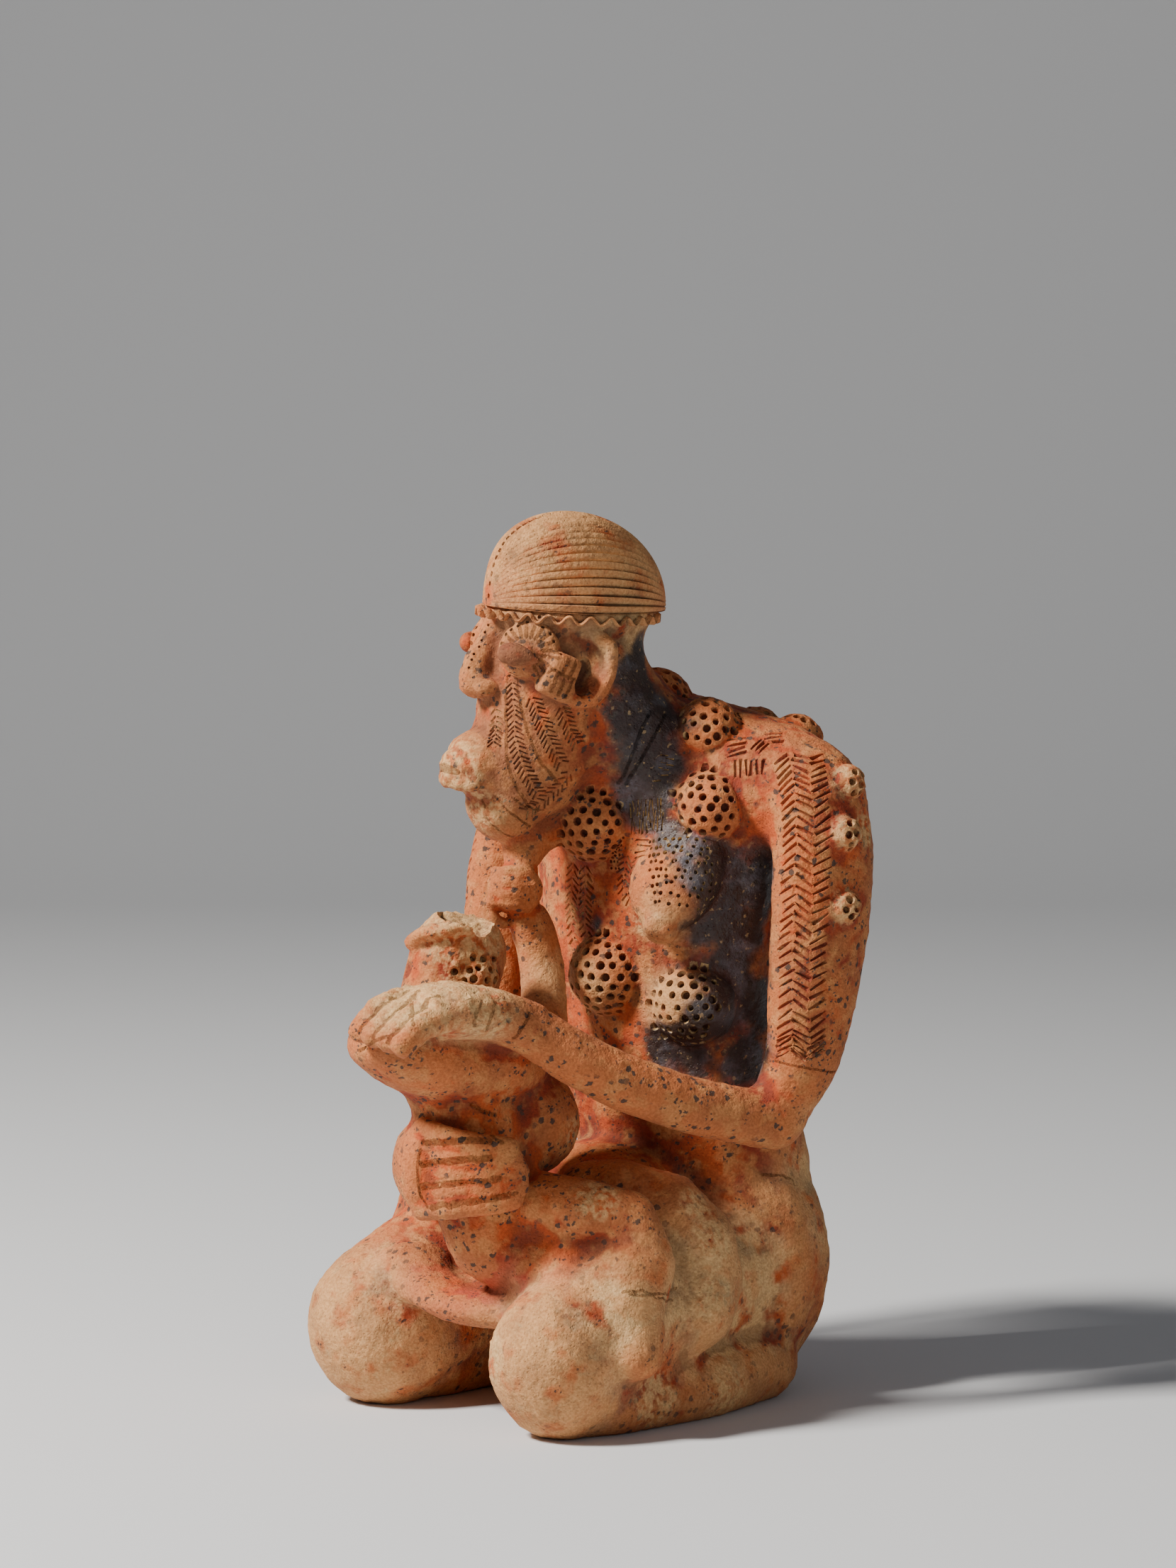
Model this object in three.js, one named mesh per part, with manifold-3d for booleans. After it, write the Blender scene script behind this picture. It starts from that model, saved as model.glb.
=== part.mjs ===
// Kneeling mother and child, a hand-built terracotta figure fired in one piece.
// Millimetres, +Z up. She faces -Y, and her left side is +X. The origin is on the ground,
// under the centre of the figure's box.
import * as THREE from "three";
import { mergeVertices } from "three/addons/utils/BufferGeometryUtils.js";
import Module from "manifold-3d";

// Driving sizes.
const FIGURE_HEIGHT = 440; // ground to crown
const FIGURE_BREADTH = 252; // across her upper arms
const FIGURE_DEPTH = 294; // from her hand on the child's back to her seat

// Counts and shares of the carving.
const HAIR_RIDGES = 20; // combed ridges over the cap of hair, ear to ear
const RIDGE_DEPTH = 0.045; // as a share of the cap's radius
const PRESSED_FLAT = 0.06; // share of its height left under the cap of hair
const LID_RAYS = 9; // wedges of clay fanned round each eye
const FINGERS = 4;

// How her head is set on the neck and the child's hand on her breast, in degrees.
const HEAD_TURN = -18;
const HEAD_TIP = 4;
const GRIP_TURN = 47;

// The figure is a free form. Every point below is in a sketch 252 across, 294 deep and 440
// high, and each form is brought from that sketch to the driving sizes.
const across = FIGURE_BREADTH / 252;
const along = FIGURE_DEPTH / 294;
const rise = FIGURE_HEIGHT / 440;

const wasm = await Module();
wasm.setup();

const UP = new THREE.Vector3(0, 0, 1);
const BACK = new THREE.Vector3(0, 1, 0);
const LEFT = new THREE.Vector3(1, 0, 0);
const degrees = THREE.MathUtils.degToRad;

// A closed form of the sketch as a solid at its real size, with its faces pointing out.
function solid(geometry) {
  const bare = geometry.clone().scale(across, along, rise);
  bare.deleteAttribute("normal");
  bare.deleteAttribute("uv");
  const merged = mergeVertices(bare, 1e-3);
  const triVerts = new Uint32Array(merged.index.array);
  const vertProperties = new Float32Array(merged.attributes.position.array);
  const made = new wasm.Manifold(new wasm.Mesh({ numProp: 3, vertProperties, triVerts }));
  if (made.volume() > 0) return made;
  triVerts.reverse();
  return new wasm.Manifold(new wasm.Mesh({ numProp: 3, vertProperties, triVerts }));
}

const join = (forms) => forms.reduce((whole, form) => whole.add(form));

// A roll of clay: a sphere pulled along a curve through stations of
// [x, y, z, half width, half depth]. The depth lies along the vector deep.
function roll(stations, { deep = UP, around = 10, steps = 7, cap = 2, blunt = 1 } = {}) {
  const path = new THREE.CatmullRomCurve3(
    stations.map(([x, y, z]) => new THREE.Vector3(x, y, z)),
    false,
    "centripetal",
  );
  const girth = new THREE.CatmullRomCurve3(
    stations.map(([, , , wide, thick]) => new THREE.Vector3(wide, thick ?? wide, 0)),
    false,
    "catmullrom",
    0.35,
  );
  const rings = steps + 2 * cap;
  const clay = new THREE.SphereGeometry(1, around, rings);
  const { position, uv } = clay.attributes;
  const side = new THREE.Vector3();
  const depth = new THREE.Vector3();
  for (let i = 0; i < position.count; i++) {
    const ring = Math.round((1 - uv.getY(i)) * rings);
    const turn = uv.getX(i) * 2 * Math.PI;
    const share = THREE.MathUtils.clamp((ring - cap) / steps, 0, 1);
    const startLean = ring < cap ? Math.cos((ring / cap) * (Math.PI / 2)) : 0;
    const endLean = ring > rings - cap ? Math.cos(((rings - ring) / cap) * (Math.PI / 2)) : 0;
    const swell = Math.sqrt(Math.max(0, 1 - (startLean + endLean) ** 2));
    const point = path.getPoint(share);
    const tangent = path.getTangent(share);
    const size = girth.getPoint(share);
    side.crossVectors(deep, tangent).normalize();
    depth.crossVectors(tangent, side).normalize();
    point
      .addScaledVector(tangent, Math.min(size.x, size.y) * blunt * (endLean - startLean))
      .addScaledVector(side, Math.cos(turn) * size.x * swell)
      .addScaledVector(depth, Math.sin(turn) * size.y * swell);
    position.setXYZ(i, point.x, point.y, point.z);
  }
  return solid(clay);
}

// A ball of clay pressed to three half sizes.
function ball([x, y, z], [wide, thick, high], around = 10, rings = 6) {
  const clay = new THREE.SphereGeometry(1, around, rings);
  clay.rotateX(Math.PI / 2);
  clay.scale(wide, thick, high ?? wide);
  clay.translate(x, y, z);
  return solid(clay);
}

// The same stations on her other side.
const mirrored = (stations) => stations.map(([x, ...rest]) => [-x, ...rest]);

// Her legs: she kneels back on her heels, with a lobe of each hip swelling over the thigh.
function legs() {
  const thigh = [
    [61, -66, 33, 32, 38],
    [62, -44, 46, 32, 42],
    [58, -10, 56, 26, 40],
    [50, 30, 58, 26, 36],
    [42, 62, 60, 32, 34],
  ];
  const shin = [
    [64, -44, 14, 24, 18],
    [68, 0, 14, 21, 18],
    [64, 46, 15, 20, 19],
    [55, 80, 16, 18, 18],
  ];
  const lobe = [
    [22, -16, 106, 17, 18],
    [50, -2, 107, 18, 19],
    [65, 15, 95, 19, 21],
    [70, 22, 72, 20, 22],
    [76, 10, 46, 18, 19],
  ];
  const farThigh = [
    [-64, -68, 36, 37, 41],
    [-62, -44, 48, 35, 43],
    [-60, -10, 58, 32, 44],
    [-52, 30, 62, 34, 40],
    [-44, 62, 62, 36, 36],
  ];
  const web = [
    [62, -62, 54, 24, 22],
    [69, -46, 66, 21, 19],
    [76, -32, 80, 15, 15],
  ];
  const thighClay = { around: 12, steps: 3, cap: 3, blunt: 0.95 };
  const shinClay = { around: 8, steps: 2 };
  const lobeClay = { deep: BACK, around: 8, steps: 5, cap: 1 };
  const lap = ball([-4, -30, 58], [50, 34, 12], 10, 4);
  const seat = ball([0, 85, 65], [78, 58, 76], 12, 8);
  const belly = ball([0, 22, 104], [46, 34, 23], 10, 6);
  const tongue = [
    [-44, -64, 74, 16, 9],
    [-28, -72, 63, 17, 8],
    [-6, -70, 55.5, 18, 7.5],
    [16, -62, 53.5, 18, 7.5],
    [36, -46, 57, 18, 8],
  ];
  return join([
    roll(thigh, thighClay),
    roll(farThigh, thighClay),
    roll(shin, shinClay),
    roll(mirrored(shin), shinClay),
    roll(lobe, lobeClay),
    roll(mirrored(lobe), lobeClay),
    roll(web, { around: 8, steps: 2, cap: 1 }),
    roll(tongue, { around: 8, steps: 4, cap: 1 }),
    lap,
    seat,
    belly,
  ]);
}

function torso() {
  const trunk = [
    [0, 94, 70, 60, 46],
    [0, 90, 100, 61, 51],
    [0, 80, 130, 63, 53],
    [0, 71, 170, 63, 49],
    [0, 62, 210, 67, 48],
    [0, 60, 250, 72, 47],
    [0, 61, 280, 76, 47],
    [0, 58, 306, 74, 44],
  ];
  const shoulders = [
    [-88, 64, 298, 27, 29],
    [-50, 66, 306, 35, 34],
    [0, 62, 310, 42, 40],
    [50, 70, 306, 35, 34],
    [90, 78, 298, 27, 29],
  ];
  const neck = [
    [0, 2, 372, 32, 31],
    [0, 12, 350, 33, 32],
    [0, 30, 326, 42, 36],
    [0, 54, 300, 58, 34],
  ];
  return join([
    roll(trunk, { deep: BACK, around: 12, steps: 6, cap: 1, blunt: 0.4 }),
    roll(shoulders, { around: 10, steps: 6, cap: 1 }),
    roll(neck, { deep: BACK, steps: 3, cap: 1 }),
  ]);
}

// Her breasts: the left a small cone, the right drawn out to the child's hand.
function breasts() {
  const left = [
    [41, 33, 267, 22, 19],
    [45, 24, 255, 19, 17],
    [49, 17, 244, 13, 12],
    [51, 14, 236, 7, 7],
  ];
  const right = [
    [-22, 14, 300, 15, 15],
    [-17, -1, 288, 13, 13],
    [-14, -14, 277, 11, 11],
    [-13, -23, 267, 9, 9],
  ];
  return join([
    roll(left, { around: 8, steps: 2 }),
    roll(right, { around: 8, steps: 3, cap: 1 }),
  ]);
}

function arms() {
  const upperLeft = [
    [94, 76, 304, 20, 27],
    [99, 76, 276, 19.5, 29],
    [101, 72, 240, 19, 28],
    [100, 68, 205, 18, 25],
    [98, 63, 172, 16, 20],
    [91, 53, 147, 14, 13],
  ];
  const foreLeft = [
    [92, 56, 142, 14, 14],
    [84, 24, 149, 13.5, 13.5],
    [72, -12, 160, 13, 14],
    [58, -48, 178, 12.5, 13],
    [46, -70, 195, 11.5, 12],
  ];
  const upperRight = [
    [-94, 66, 304, 20, 27],
    [-99, 60, 276, 19, 28],
    [-101, 52, 250, 18, 26],
    [-100, 46, 215, 17, 23],
    [-98, 42, 180, 16, 19],
    [-93, 38, 150, 15, 15],
  ];
  const foreRight = [
    [-92, 36, 146, 14, 14],
    [-82, 2, 138, 13, 13],
    [-62, -34, 130, 12.5, 13],
    [-38, -66, 127, 12, 12.5],
    [-16, -84, 127, 12, 16],
  ];
  return join([
    roll(upperLeft, { deep: BACK, steps: 5 }),
    roll(foreLeft, { steps: 5, cap: 1 }),
    roll(upperRight, { deep: BACK, around: 9, steps: 5 }),
    roll(foreRight, { around: 8, steps: 5, cap: 1 }),
  ]);
}

// Her left hand lies on the child's shoulders, its fingers curled over the edge.
function leftHand() {
  const palm = [
    [46, -70, 195, 11, 12],
    [40, -88, 202, 16, 12],
    [33, -110, 206, 20, 13],
    [30, -124, 205, 21, 12],
  ];
  const fingers = [];
  for (let n = 0; n < FINGERS; n++) {
    const across = 14 + n * 10;
    const finger = [
      [across + 2, -118, 210 - n * 1.5, 5.5, 7],
      [across, -135, 206 - n * 2, 5.5, 7],
      [across - 2, -147, 196 - n * 1.5, 5, 6],
    ];
    fingers.push(roll(finger, { around: 6, steps: 2 }));
  }
  return join([roll(palm, { steps: 3, cap: 1 }), ...fingers]);
}

// Her right hand wraps the child's hips from the far side: a knuckled back, then five fingers.
function rightHand() {
  const hips = new THREE.Vector3(12, -66, 126);
  const back = [
    [-14, -84, 127, 13, 17],
    [-2, -98, 127, 12, 21],
    [8, -104, 127, 9, 21],
  ];
  const fingers = [];
  for (let n = 0; n <= FINGERS; n++) {
    const spread = n - FINGERS / 2;
    const finger = [];
    for (let k = 0; k <= 3; k++) {
      const turn = degrees(-98 + k * (28 - 1.4 * Math.abs(spread - 0.5)));
      const draw = 1 - 0.13 * k;
      finger.push([
        hips.x + Math.cos(turn) * 36,
        hips.y + Math.sin(turn) * 37,
        hips.z - spread * 9.5 * draw,
        5.2 * (0.5 + 0.5 * draw),
        6,
      ]);
    }
    fingers.push(roll(finger, { around: 5, steps: 3 }));
  }
  return join([roll(back, { around: 8, steps: 2 }), ...fingers]);
}

// The child sits in her lap, facing her, its head thrown back.
function child() {
  const body = [
    [15, -61, 80, 20, 20],
    [13, -65, 97, 23, 24],
    [10, -68, 125, 27, 27],
    [6, -74, 152, 24, 24],
    [4, -82, 176, 26, 28],
  ];
  const back = [
    [4, -128, 187, 22, 12],
    [6, -110, 181, 28, 17],
    [8, -84, 176, 31, 20],
    [14, -56, 176, 26, 20],
  ];
  const nearLeg = [
    [24, -54, 106, 15, 15],
    [46, -54, 109, 15, 15],
    [66, -40, 105, 15, 15],
    [80, -22, 96, 15, 15],
    [80, -30, 80, 17, 20],
    [82, -40, 64, 16, 20],
    [88, -40, 50, 13, 16],
    [96, -44, 38, 9, 12],
  ];
  const farLeg = [
    [-2, -50, 106, 14, 14],
    [-36, -50, 108, 13, 13],
    [-62, -40, 104, 13, 13],
    [-80, -24, 97, 13, 14],
    [-82, -28, 82, 13, 13],
    [-86, -36, 66, 12, 12],
    [-92, -42, 48, 11, 11],
  ];
  const neck = [
    [0, -84, 178, 26, 26],
    [-3, -77, 205, 21, 22],
    [-4, -73, 222, 20, 23],
  ];
  const arm = [
    [18, -38, 180, 12, 13],
    [6, -23, 190, 11, 13],
    [-5, -13, 207, 10, 12],
    [-10, -12, 226, 10, 12],
    [-13, -18, 242, 9, 11],
  ];
  return join([
    roll(body, { deep: BACK, steps: 5, cap: 1 }),
    roll(back, { steps: 4 }),
    ball([12, -40, 144], [26, 27, 27]),
    ball([38, -47, 78], [30, 24, 26], 8, 4),
    roll(nearLeg, { deep: BACK, around: 8, steps: 8 }),
    roll(farLeg, { deep: BACK, around: 6, steps: 6 }),
    roll(neck, { deep: BACK, steps: 1, cap: 1 }),
    roll(arm, { deep: BACK, around: 8, steps: 5, cap: 1 }),
    childHead(),
    childHand(),
  ]);
}

// The child's head is broken off above the mouth, so it ends in a rough saddle.
function childHead() {
  const block = ball([-1, -72, 226], [21, 26, 24], 10, 6);
  const saddle = ball([2, -65, 259], [16, 22, 19], 8, 6);
  return block.subtract(saddle);
}

// Its right hand closes on the end of her right breast. The hand is modelled with its knuckles
// facing -Y, then turned.
function childHand() {
  const place = new THREE.Matrix4()
    .makeTranslation(-12, -26, 254)
    .multiply(new THREE.Matrix4().makeRotationZ(degrees(GRIP_TURN)));
  const palm = new THREE.SphereGeometry(1, 10, 6).scale(13.5, 10.5, 12.5).applyMatrix4(place);
  const fingers = [];
  for (let n = 0; n < FINGERS; n++) {
    const level = 8 - n * 5.2;
    const reach = Math.sqrt(1 - (level / 14) ** 2);
    const finger = [
      [8 * reach, -6 * reach, level],
      [-3 * reach, -8.6 * reach, level + 1.5],
      [-11.5 * reach, -3 * reach, level + 1],
    ].map(([x, y, z]) => [...new THREE.Vector3(x, y, z).applyMatrix4(place), 3.2, 3]);
    fingers.push(roll(finger, { around: 5, steps: 2, cap: 1 }));
  }
  return join([solid(palm), ...fingers]);
}

// The head is modelled facing -Y about the point level with the hairline, then turned.
function head() {
  const skull = ball([0, 0, -4], [36, 42, 40], 8, 4);
  const face = [
    [0, -6, -8, 32, 34],
    [0, -12, -34, 31, 33],
    [0, -17, -62, 29, 32],
    [0, -24, -82, 26, 30],
    [0, -34, -98, 19, 20],
  ];
  const muzzle = [
    [0, -34, -77, 20, 21],
    [0, -51, -78, 17, 16],
    [0, -57, -80, 13.5, 12],
  ];
  const nose = [
    [0, -40, -4, 5, 6],
    [0, -44.5, -19, 5.5, 6.5],
    [0, -50, -28, 6.5, 7.5],
    [0, -52, -38, 9, 8.5],
  ];
  const lips = [
    [-62, -75],
    [-64, -85.5],
  ].map(([front, level]) => {
    const lip = [
      [-12, front + 7, level - 1, 4, 4],
      [0, front, level, 5, 4.4],
      [12, front + 7, level - 1, 4, 4],
    ];
    return roll(lip, { around: 6, steps: 2 });
  });
  const forms = [
    skull,
    hair(),
    roll(face, { deep: BACK, steps: 4 }),
    roll(muzzle, { around: 8, steps: 2, cap: 1 }),
    roll(nose, { deep: BACK, around: 6, steps: 3 }),
    ...lips,
  ];
  for (const s of [-1, 1]) forms.push(eye(s), ear(s), ...temple(s));
  const at = new THREE.Matrix4()
    .makeTranslation(0, 2 * along, 394 * rise)
    .multiply(new THREE.Matrix4().makeRotationZ(degrees(HEAD_TURN)))
    .multiply(new THREE.Matrix4().makeRotationY(degrees(HEAD_TIP)));
  return join(forms).transform(at.elements);
}

// A cap of hair in combed ridges that run from the brow to the nape. Its poles are the brow
// and the nape, its upper half carries the ridges, and its lower half is pressed flat.
function hair() {
  const over = 2 * HAIR_RIDGES;
  const under = 4;
  const cap = new THREE.SphereGeometry(1, over + under, 6);
  const { position } = cap.attributes;
  for (let i = 0; i < position.count; i++) {
    const column = i % (over + under + 1);
    const top = column <= over;
    const turn = Math.PI * (top ? column / over : 1 + (column - over) / under);
    const ridge = top ? 1 + RIDGE_DEPTH * (column % 2) : 1;
    const reach = Math.hypot(position.getX(i), position.getZ(i)) * ridge;
    position.setX(i, Math.cos(turn) * reach);
    position.setZ(i, Math.sin(turn) * reach * (top ? 1 : PRESSED_FLAT));
  }
  cap.scale(37.5, 45, 49);
  cap.rotateX(degrees(3));
  cap.translate(0, 0, -6);
  return solid(cap);
}

// A lozenge eye on a pad of clay wedges. Her right eye is set a little further back.
function eye(s) {
  const pad = new THREE.SphereGeometry(1, 2 * LID_RAYS, 3);
  const { position } = pad.attributes;
  for (let i = 0; i < position.count; i++) {
    const valley = (i % (2 * LID_RAYS + 1)) % 2;
    const fade = Math.hypot(position.getX(i), position.getZ(i));
    position.setY(i, position.getY(i) * (1 - 0.45 * valley * fade));
    position.setX(i, position.getX(i) * (1 - 0.1 * valley * fade));
    position.setZ(i, position.getZ(i) * (1 - 0.1 * valley * fade));
  }
  pad.scale(15, 6, 14);
  pad.rotateZ(degrees(s * 52));
  pad.translate(s * 24, -35, -21);
  const bulge = new THREE.OctahedronGeometry(1, 1);
  bulge.scale(8.4, 7.5, 6);
  bulge.rotateZ(degrees(s * 52));
  bulge.translate(s * 27, s > 0 ? -40.5 : -38, -22.5);
  return solid(pad).add(solid(bulge));
}

// A question-mark ear.
function ear(s) {
  const rim = [
    [s * 32, -4, -13, 4, 5],
    [s * 35.5, 2.5, -18.5, 4, 5],
    [s * 36.5, 3, -28, 4, 5],
    [s * 36, 0, -37, 4, 5],
    [s * 35, -6, -43.5, 4, 5],
    [s * 34, -14, -44, 4, 5],
  ];
  return roll(rim, { deep: LEFT, around: 5, steps: 5, cap: 1 });
}

// Two pads on the temple, cut into pellets: [how many, front to back, height, pitch].
function temple(s) {
  const pellets = [];
  for (const [count, y, z, pitch] of [
    [3, -20, -28, 6],
    [4, -24, -37.5, 4.6],
  ]) {
    for (let n = 0; n < count; n++) {
      const pellet = new THREE.BoxGeometry(9, pitch * 0.86, 11);
      pellet.translate(s * 33.5, (n - (count - 1) / 2) * pitch, 0);
      pellet.rotateX(degrees(-25));
      pellet.translate(0, y, z);
      pellets.push(solid(pellet));
    }
  }
  return pellets;
}

// Pustules: knobs of clay on her chest, shoulders, back and arms. Each group faces one way,
// and its knobs are [x, y, z, radius].
function pustules() {
  const forms = [];
  const knobs = (facing, places) => {
    const aim = new THREE.Quaternion().setFromUnitVectors(BACK, facing);
    for (const [x, y, z, r] of places) {
      const knob = new THREE.SphereGeometry(r, r > 10 ? 8 : 6, 4);
      knob.applyQuaternion(aim);
      knob.translate(x, y, z);
      forms.push(solid(knob));
    }
  };
  knobs(BACK.clone().negate(), [
    [2.5, 15, 287, 22],
    [57, 40.6, 295, 19],
    [6, 22, 211, 21.5],
    [48, 38, 198, 21],
    [-52, 42, 294, 18],
    [-50, 40, 200, 20],
  ]);
  knobs(UP, [
    [4, 54, 342, 19],
    [47, 47.5, 331, 16.5],
    [30, 98, 327, 14],
    [64, 92, 325, 13.5],
    [-40, 54, 330, 16],
    [-30, 96, 326, 14],
    [-62, 86, 322, 13.5],
  ]);
  for (const s of [-1, 1]) {
    knobs(BACK, [
      [s * 34, 98, 272, 15],
      [s * 32, 104, 222, 15],
      [s * 30, 116, 172, 15],
    ]);
    knobs(LEFT.clone().multiplyScalar(s), [
      [s * 112, 78, 308, 8],
      [s * 118, 70, 284, 8],
      [s * 117, 70, 248, 8],
    ]);
  }
  return forms;
}

const figure = join([
  legs(),
  torso(),
  breasts(),
  arms(),
  leftHand(),
  rightHand(),
  child(),
  head(),
  ...pustules(),
]);

// The underside is trimmed flat where the figure stands.
const slab = new THREE.BoxGeometry(500, 500, 200);
slab.translate(0, 0, -100);
const standing = figure.subtract(solid(slab));

// Her clay as a mesh, with its box centred over the origin.
const { vertProperties, triVerts } = standing.getMesh();
const geometry = new THREE.BufferGeometry();
geometry.setAttribute("position", new THREE.BufferAttribute(new Float32Array(vertProperties), 3));
geometry.setIndex(new THREE.BufferAttribute(new Uint32Array(triVerts), 1));
geometry.computeBoundingBox();
const middle = geometry.boundingBox.getCenter(new THREE.Vector3());
geometry.translate(-middle.x, -middle.y, 0);

const terracotta = new THREE.MeshStandardMaterial({ color: 0xb9774f, roughness: 0.9, metalness: 0 });
const clay = new THREE.Mesh(geometry, terracotta);
clay.name = "maternity_figure";

const group = new THREE.Group();
group.add(clay);

export default group;
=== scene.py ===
"""A kneeling mother with her child in her lap, hand-built in terracotta and fired in one piece."""

from math import cos, pi, radians, sin

import bpy
import numpy as np
from mathutils import Matrix, Vector
from mathutils.bvhtree import BVHTree


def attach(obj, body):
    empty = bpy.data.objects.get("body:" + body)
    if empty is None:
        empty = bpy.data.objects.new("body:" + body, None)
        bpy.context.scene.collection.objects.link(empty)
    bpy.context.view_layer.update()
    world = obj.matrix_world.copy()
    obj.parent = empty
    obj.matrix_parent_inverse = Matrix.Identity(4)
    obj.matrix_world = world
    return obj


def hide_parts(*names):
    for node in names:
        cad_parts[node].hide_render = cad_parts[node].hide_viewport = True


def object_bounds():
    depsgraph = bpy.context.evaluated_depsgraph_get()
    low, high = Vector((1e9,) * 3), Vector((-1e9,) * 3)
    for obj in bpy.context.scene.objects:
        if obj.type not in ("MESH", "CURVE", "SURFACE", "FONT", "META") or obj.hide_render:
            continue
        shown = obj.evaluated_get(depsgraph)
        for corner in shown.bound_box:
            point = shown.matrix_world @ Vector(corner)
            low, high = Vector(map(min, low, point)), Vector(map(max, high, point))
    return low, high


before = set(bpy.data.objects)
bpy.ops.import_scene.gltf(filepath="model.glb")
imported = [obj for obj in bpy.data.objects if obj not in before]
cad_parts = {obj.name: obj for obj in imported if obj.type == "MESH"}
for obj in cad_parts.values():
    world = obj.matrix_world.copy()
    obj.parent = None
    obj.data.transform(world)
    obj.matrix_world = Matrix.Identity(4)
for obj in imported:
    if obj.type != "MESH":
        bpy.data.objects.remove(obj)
cad_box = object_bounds()

# The clay body. Mother and child were built up by hand from coarse clay and rubbed smooth
# with wet fingers. It starts as a copy of the solid, whose facets are rubbed away.
MM = 0.001
RUB_GRAIN = 2.0 * MM
RUB_PASSES = 60
RUB_GIVE_BACK = 1.3 * MM  # what rubbing takes off the limbs is put back
LEFT_AS_BUILT = [
    (20, -132, 204, 20),
    (36, -128, 204, 20),
    (22, -90, 140, 20),
    (24, -90, 118, 22),
    (42, -70, 126, 20),
    (-14, -22, 252, 17),
    (8, -29, 351, 22),
    (-18, -50, 372, 24),
    (-14, -42, 336, 18),
    (14, -36, 372, 18),
    (28, -24, 364, 17),
    (35, 0, 366, 16),
    (-1, -64, 250, 24),
]
chance = np.random.default_rng(11)


def pick(piece):
    """Selects the piece alone, for the tool that follows."""
    bpy.ops.object.select_all(action="DESELECT")
    piece.select_set(True)
    bpy.context.view_layer.objects.active = piece


def modify(piece, kind, **settings):
    """Adds a modifier to the piece and applies it."""
    modifier = piece.modifiers.new(kind.lower(), kind)
    for key, value in settings.items():
        setattr(modifier, key, value)
    pick(piece)
    bpy.ops.object.modifier_apply(modifier=modifier.name)


def points_of(piece):
    """The piece's vertices as rows of x, y, z, in metres."""
    places = np.empty(len(piece.data.vertices) * 3, np.float32)
    piece.data.vertices.foreach_get("co", places)
    return places.reshape(-1, 3).astype(float)


def move_points(piece, places):
    """Puts the piece's vertices at the places, in metres."""
    piece.data.vertices.foreach_set("co", np.asarray(places, np.float32).ravel())
    piece.data.update()


# Knobs of clay on her chest, shoulders, back and arms, and one at the child's nape, are balls
# pressed on the wet body. A knob is (x, y, z, radius), and each group faces one way. The clay
# round them, the hands and the face isn't rubbed.
CHEST_KNOBS = [
    (2.5, 20.3, 287, 21.5),
    (57, 45.9, 295, 18.6),
    (6, 27.3, 211, 21.2),
    (48, 43.3, 198, 20.6),
    (-52, 47.5, 294, 17.4),
    (-50, 45.5, 200, 19),
]
SHOULDER_KNOBS = [
    (4, 59.5, 342, 18.2),
    (47, 52.8, 331, 16.2),
    (-40, 59.5, 330, 15.4),
]
REAR_KNOBS = [
    (30, 103.5, 327, 13.4),
    (64, 97.5, 325, 13),
    (-30, 101.5, 326, 13.4),
    (-62, 91.5, 322, 13),
]
BACK_KNOBS = [(34, 103.5, 272, 14.6), (32, 109.5, 222, 14.6), (30, 121.5, 172, 14.6)]
ARM_KNOBS = [(112, 83.5, 308, 8.6), (117.5, 75.5, 284, 8.6), (117, 75.5, 248, 8.6)]
CHILD_KNOBS = [(10, -69, 216, 13)]
KNOB_GROUPS = [
    (Vector((0, -1, 0)), CHEST_KNOBS),
    (Vector((0.3, -0.45, 0.84)).normalized(), SHOULDER_KNOBS),
    (Vector((0, 0.5, 0.86)).normalized(), REAR_KNOBS),
    (Vector((0, 1, 0)), BACK_KNOBS + [(-x, y, z, r) for x, y, z, r in BACK_KNOBS]),
    (Vector((1, 0.15, 0)).normalized(), ARM_KNOBS),
    (Vector((-1, 0.15, 0)).normalized(), [(-x, y, z, r) for x, y, z, r in ARM_KNOBS]),
    (Vector((0.8, -0.3, 0.4)).normalized(), CHILD_KNOBS),
]


def near(places, spots, soft=0.6):
    """How far each point lies inside spots of (x, y, z, radius) in millimetres, 0 to 1."""
    amount = np.zeros(len(places))
    for x, y, z, radius in spots:
        gap = np.linalg.norm(places / MM - (x, y, z), axis=1) / radius
        amount = np.maximum(amount, np.clip((1.05 + soft / 2 - gap) / soft, 0, 1))
    return amount * amount * (3 - 2 * amount)


def mark(piece, name, amounts, levels=16):
    """Paints the amounts on the piece's vertices as a group for modifiers."""
    group = piece.vertex_groups.new(name=name)
    steps = np.round(np.clip(amounts, 0, 1) * levels).astype(int)
    for step in range(1, levels + 1):
        group.add(np.flatnonzero(steps == step).tolist(), step / levels, "REPLACE")


bpy.ops.object.select_all(action="DESELECT")
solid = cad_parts["maternity_figure"]
figure = bpy.data.objects.new("mother_and_child", solid.data.copy())
bpy.context.scene.collection.objects.link(figure)
modify(figure, "WELD", merge_threshold=0.01 * MM)
modify(figure, "REMESH", mode="VOXEL", voxel_size=RUB_GRAIN)
kept = LEFT_AS_BUILT + [knob for _, knobs in KNOB_GROUPS for knob in knobs]
mark(figure, "rubbed", 1 - near(points_of(figure), kept, soft=0.25))
modify(figure, "SMOOTH", factor=0.5, iterations=RUB_PASSES, vertex_group="rubbed")
modify(figure, "DISPLACE", strength=RUB_GIVE_BACK, mid_level=0, vertex_group="rubbed")
forms = [figure]


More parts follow.
